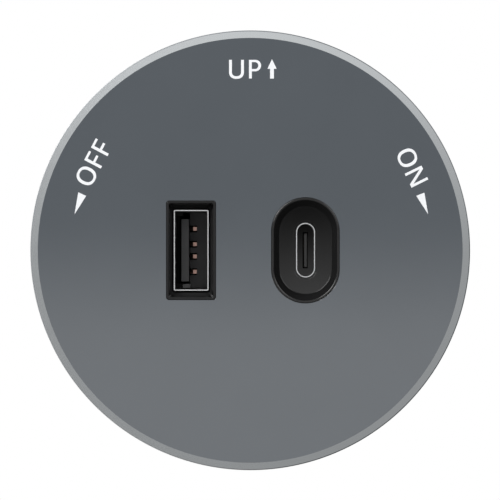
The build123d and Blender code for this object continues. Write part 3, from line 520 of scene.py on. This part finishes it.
# ---------------------------------------------------------------- face plate
def make_face_plate():
    bm = bmesh.new()
    edge_y = Y_FACE + (R_CHAMFER - R_FACE)
    profile = [(R_FACE, Y_FACE, 0)]
    profile.append((R_FACE + 0.03, Y_FACE + 0.03, 1))
    profile.append((R_CHAMFER - 0.02, edge_y - 0.02, 1))
    profile.append((R_CHAMFER, edge_y, 1))
    # the small radius between the chamfer and the wall: it starts at the chamfer's 45 degrees
    rho = (R_OUT - R_CHAMFER) / (1 - math.sin(math.radians(45)))
    for a in (54, 63, 72, 81, 90):
        k = math.radians(a)
        profile.append((R_OUT - rho * (1 - math.sin(k)),
                        edge_y + rho * (math.cos(math.radians(45)) - math.cos(k)), 0))
    profile += [(R_OUT, Y_SKIRT - 0.20, 2), (R_OUT - 0.06, Y_SKIRT - 0.06, 2), (R_OUT - 0.2, Y_SKIRT, 2),
                (R_FACE + 0.36, Y_SKIRT, 2), (R_FACE + 0.30, Y_SKIRT - 0.06, 2), (R_FACE + 0.30, Y_PLATE_BACK, 2)]
    rings = [ring(bm, circle(r), y) for r, y, _ in profile]
    for i in range(len(rings) - 1):
        bridge(bm, rings[i], rings[i + 1], profile[i + 1][2])
    holes_front, holes_back = [], []
    for make in (lambda g: rounded_box(X_A, 0, A_W + 0.08 + 2 * g, A_H + 0.08 + 2 * g, 0.48 + g),
                 lambda g: stadium(X_C, 0, C_W + 0.08 + 2 * g, C_H + 0.08 + 2 * g)):
        h0 = ring(bm, make(0.02), Y_FACE)
        h1 = ring(bm, make(0.006), Y_FACE + 0.006)
        h2 = ring(bm, make(0.0), Y_FACE + 0.02)
        h3 = ring(bm, make(0.0), Y_PLATE_BACK)
        for a, b in ((h0, h1), (h1, h2), (h2, h3)):
            bridge(bm, a, b)
        holes_front.append(h0)
        holes_back.append(h3)
    fill(bm, [rings[0]] + holes_front, (0, -1, 0))
    fill(bm, [rings[-1]] + holes_back, (0, 1, 0))
    bmesh.ops.remove_doubles(bm, verts=bm.verts, dist=1e-8)
    bmesh.ops.recalc_face_normals(bm, faces=bm.faces)
    o = new_piece("face_plate_cap", bm, [FACE, BRIGHT, WALL], smooth_angle=22)
    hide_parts("face_plate")
    return o


make_face_plate()


# ---------------------------------------------------------------- legends: direction words and arrows in white ink
def place(points, origin, u, v):
    return [(origin[0] + p[0] * u[0] + p[1] * v[0], origin[1] + p[0] * u[1] + p[1] * v[1]) for p in points]


def ink(name, glyphs, top=Y_FACE - 0.02, bottom=Y_FACE + 0.03):
    """glyphs: lists of closed loops, the first the outline and the rest its counters."""
    bm = bmesh.new()
    for loops in glyphs:
        fronts = [ring(bm, l, top) for l in loops]
        backs = [ring(bm, l, bottom) for l in loops]
        for f, b in zip(fronts, backs):
            bridge(bm, f, b)
        fill(bm, fronts, (0, -1, 0))
        fill(bm, backs, (0, 1, 0))
    bmesh.ops.recalc_face_normals(bm, faces=bm.faces)
    o = new_piece(name, bm, [INK], smooth_angle=30)
    return o


def rounded(cx, cz, rx, rz, a0, a1, n, power=2.3):
    """An arc a little squarer than an ellipse's."""
    out = []
    for i in range(n + 1):
        a = math.radians(a0 + (a1 - a0) * i / n)
        c, s = math.cos(a), math.sin(a)
        out.append((cx + rx * math.copysign(abs(c) ** (2 / power), c), cz + rz * math.copysign(abs(s) ** (2 / power), s)))
    return out


def letter_u(x0, x1, z0, z1, stem, foot, rz):
    c, r = (x0 + x1) / 2, (x1 - x0) / 2
    zc = z0 + rz
    return [[(x0, z1), (x0 + stem, z1)] + rounded(c, zc, r - stem, rz - foot, 180, 360, 24)
            + [(x1 - stem, z1), (x1, z1)] + rounded(c, zc, r, rz, 360, 180, 32)]


def letter_p(x0, x1, z0, z1, zb, stem, top, low, right):
    r = (z1 - zb) / 2
    ri = (z1 - top - zb - low) / 2
    zc, zi = (z1 + zb) / 2, (z1 - top + zb + low) / 2
    return [[(x0, z0), (x0, z1)] + arc(x1 - r, zc, r, r, 90, -90, 24) + [(x0 + stem, zb), (x0 + stem, z0)],
            [(x0 + stem, zb + low), (x0 + stem, z1 - top)] + arc(x1 - right - ri, zi, ri, ri, 90, -90, 20)]


def letter_o(centre, u, v):
    return [place(rounded(0, 0, 1.43, 1.565, 0, 360, 64)[:-1], centre, u, v),
            place(rounded(0, 0, 0.93, 1.165, 0, 360, 56)[:-1], centre, u, v)]


def letter_f(corner, u, v, h=3.03, stem=0.465, bar=1.70, thick=0.386, mid=(1.38, 1.78), mid_end=1.615):
    pts = [(0, 0), (bar, 0), (bar, -thick), (stem, -thick), (stem, -mid[0]), (mid_end, -mid[0]),
           (mid_end, -mid[1]), (stem, -mid[1]), (stem, -h), (0, -h)]
    return [place(pts, corner, u, v)]


def letter_n(corner, u, v, w=2.515, h=3.03, stem=0.42, diag=0.60, k=0.18):
    pts = [(0, 0), (0, h), (diag, h), (w - stem, h * k), (w - stem, h), (w, h), (w, 0), (w - diag, 0),
           (stem, h * (1 - k)), (stem, 0)]
    return [place(pts, corner, u, v)]


ink("legend_up", [
    letter_u(-3.43, -1.02, 27.79, 30.87, 0.465, 0.42, 1.10),
    letter_p(-0.20, 1.765, 27.85, 30.87, 29.01, 0.46, 0.365, 0.375, 0.46),
    [[(3.533, 30.98), (4.285, 29.42), (3.845, 29.42), (3.845, 27.84), (3.225, 27.84), (3.225, 29.42), (2.80, 29.42)]],
])
OFF_U, OFF_V = (0.4664, 0.8846), (-0.8846, 0.4664)
ink("legend_off", [
    letter_o((-26.55, 12.07), OFF_U, OFF_V),
    letter_f((-26.91, 14.643), OFF_U, OFF_V),
    letter_f((-25.813, 16.663), OFF_U, OFF_V),
    [[(-27.861, 9.400), (-26.578, 8.823), (-28.473, 5.840)]],
])
ON_U, ON_V = (0.4179, -0.9085), (0.9085, 0.4179)
ink("legend_on", [
    letter_o((25.48, 14.99), ON_U, ON_V),
    letter_n((25.041, 12.400), (0.4431, -0.8965), (0.8965, 0.4431)),
    [[(26.914, 8.829), (28.232, 9.347), (28.838, 5.856)]],
])


# ---------------------------------------------------------------- contact springs: coils with closed, ground ends
def make_coil(name, side):
    r, wire = 1.60, 0.25
    x0, x1 = 4.72, 9.68
    turns, per, sides = 6.5, 28, 12
    dead = 1.0                                   # closed turns at each end
    length = x1 - x0
    n = int(turns * per)

    def at(k):
        """Distance along the axis after k turns: pitch is one wire in the closed turns."""
        pitch_dead = wire * 2 * 0.98
        live = turns - 2 * dead
        pitch_live = (length - wire * 2 - 2 * dead * pitch_dead) / live
        if k < dead:
            return k * pitch_dead
        if k > turns - dead:
            return dead * pitch_dead + live * pitch_live + (k - turns + dead) * pitch_dead
        return dead * pitch_dead + (k - dead) * pitch_live

    bm = bmesh.new()
    rows = []
    for i in range(n + 1):
        k = i / per
        a = 2 * math.pi * k
        c = Vector((x0 + wire + at(k), 10.5 + r * math.cos(a), r * math.sin(a)))
        out = Vector((0, math.cos(a), math.sin(a)))
        side_dir = Vector((1, 0, 0))
        row = []
        for j in range(sides):
            b = 2 * math.pi * j / sides
            p = c + out * wire * math.cos(b) + side_dir * wire * math.sin(b)
            p.x = max(x0 + 0.06, min(x1 - 0.06, p.x))          # ground flat
            row.append(bm.verts.new((side * p.x * MM, p.y * MM, p.z * MM)))
        rows.append(row)
    for a, b in zip(rows, rows[1:]):
        bridge(bm, a, b)
    bm.faces.new(rows[0])
    bm.faces.new(rows[-1])
    bmesh.ops.recalc_face_normals(bm, faces=bm.faces)
    o = new_piece(name, bm, [spring_m], smooth_angle=50)
    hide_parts("live_spring" if side > 0 else "neutral_spring")
    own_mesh(o)
    return o


make_coil("live_coil", 1)
make_coil("neutral_coil", -1)


# ---------------------------------------------------------------- studio
def make_world():
    w = bpy.data.worlds.new("studio")
    bpy.context.scene.world = w
    w.use_nodes = True
    t = w.node_tree
    t.nodes.clear()
    out = t.nodes.new("ShaderNodeOutputWorld")
    bg = t.nodes.new("ShaderNodeBackground")
    t.links.new(bg.outputs[0], out.inputs["Surface"])
    tc = t.nodes.new("ShaderNodeTexCoord")
    sep = t.nodes.new("ShaderNodeSeparateXYZ")
    t.links.new(tc.outputs["Generated"], sep.inputs[0])
    x, y, z = sep.outputs
    ramp = t.nodes.new("ShaderNodeValToRGB")
    t.links.new(remap(t, z, -1, 1, 0, 1), ramp.inputs[0])
    stops = [(0.0, 0.33), (0.25, 0.34), (0.5, 0.365), (0.75, 0.485), (0.933, 0.625), (1.0, 0.67)]
    e = ramp.color_ramp.elements
    for i, (p, v) in enumerate(stops):
        el = e[i] if i < 2 else e.new(p)
        el.position = p
        el.color = (v, v, v, 1)
    base = ramp.outputs[0]
    forward = math_node(t, "MAXIMUM", math_node(t, "MULTIPLY", y, -1.0), 0.05)
    slope = math_node(t, "DIVIDE", z, forward)

    def layer(under, over, weight):
        return math_node(t, "ADD", math_node(t, "MULTIPLY", under, math_node(t, "SUBTRACT", 1.0, weight)),
                         math_node(t, "MULTIPLY", over, weight))

    # round the lens: a dark flag, a pale ring inside it, and a graded card in the middle
    flag = math_node(t, "ADD", math_node(t, "MULTIPLY", x, -0.18),
                     math_node(t, "ADD", 0.17, math_node(t, "MULTIPLY", math_node(t, "ABSOLUTE", z), 0.10)))
    card = remap(t, slope, -0.0149, 0.0046, 0.96, 0.015)
    # behind the object: bright on its left and black on its right, which draws the line round the rim
    behind = math_node(t, "MULTIPLY", remap(t, y, 0.14, 0.34, 0.0, 1.0, smooth=True),
                       remap(t, y, 0.80, 0.95, 1.0, 0.0, smooth=True))
    light = layer(base, remap(t, x, -0.45, 0.25, 2.2, 0.05), behind)
    light = layer(light, flag, remap(t, forward, 0.76, 0.90, 0.0, 1.0, smooth=True))
    light = layer(light, 1.0, remap(t, forward, 0.9703, 0.9816, 0.0, 1.0, smooth=True))
    light = layer(light, card, remap(t, forward, 0.9935, 0.9962, 0.0, 1.0, smooth=True))
    lp = t.nodes.new("ShaderNodeLightPath")
    seen = math_node(t, "MAXIMUM", light, lp.outputs["Is Camera Ray"])
    comb = t.nodes.new("ShaderNodeCombineColor")
    for i in range(3):
        t.links.new(seen, comb.inputs[i])
    t.links.new(comb.outputs[0], bg.inputs["Color"])
    bg.inputs["Strength"].default_value = 1.0


def softbox(name, position, power, size):
    d = bpy.data.lights.new(name, "AREA")
    d.shape = "RECTANGLE"
    d.size = d.size_y = size
    d.energy = power
    o = bpy.data.objects.new(name, d)
    o.location = position
    o.rotation_mode = "QUATERNION"
    o.rotation_quaternion = (-Vector(position)).to_track_quat("-Z", "Y")
    o.visible_camera = False
    bpy.context.scene.collection.objects.link(o)
    return o


def make_studio():
    make_world()
    softbox("key_left", (-1.10, -1.15, 1.00), 31.0, 1.15)
    softbox("key_right", (1.10, -1.15, 0.85), 11.0, 1.15)
    softbox("back_left", (-1.25, 1.2, 1.05), 15.0, 1.3)
    softbox("back_right", (1.5, 1.4, 1.0), 9.0, 1.8)
    bm = bmesh.new()
    bmesh.ops.create_circle(bm, cap_ends=True, segments=96, radius=7.0)
    me = bpy.data.meshes.new("floor")
    bm.to_mesh(me)
    bm.free()
    floor = bpy.data.objects.new("floor", me)
    floor.location = (0, 0, -1.3)
    bpy.context.scene.collection.objects.link(floor)
    m, t, b = node_tree("pale_floor")
    vec = coords(t)
    t.links.new(mix_colour(t, noise(t, vec, 900.0, 2.0), (0.88, 0.88, 0.88), (0.92, 0.92, 0.92)), b.inputs["Base Color"])
    b.inputs["Roughness"].default_value = 0.9
    me.materials.append(m)
    floor.visible_glossy = False
    floor.visible_diffuse = False


make_studio()

cam_data = bpy.data.cameras.new("camera")
cam_data.lens = 400
cam_data.sensor_width = 36
cam_data.clip_start, cam_data.clip_end = 0.01, 30
cam = bpy.data.objects.new("camera", cam_data)
cam.location = (-0.032 * MM, -930.44 * MM, 0.049 * MM)
cam.rotation_euler = (math.radians(90), 0, 0)
bpy.context.scene.collection.objects.link(cam)
bpy.context.scene.camera = cam

view = bpy.context.scene.view_settings
view.view_transform = "Standard"
view.look = "None"
view.exposure, view.gamma = 0.0, 1.0
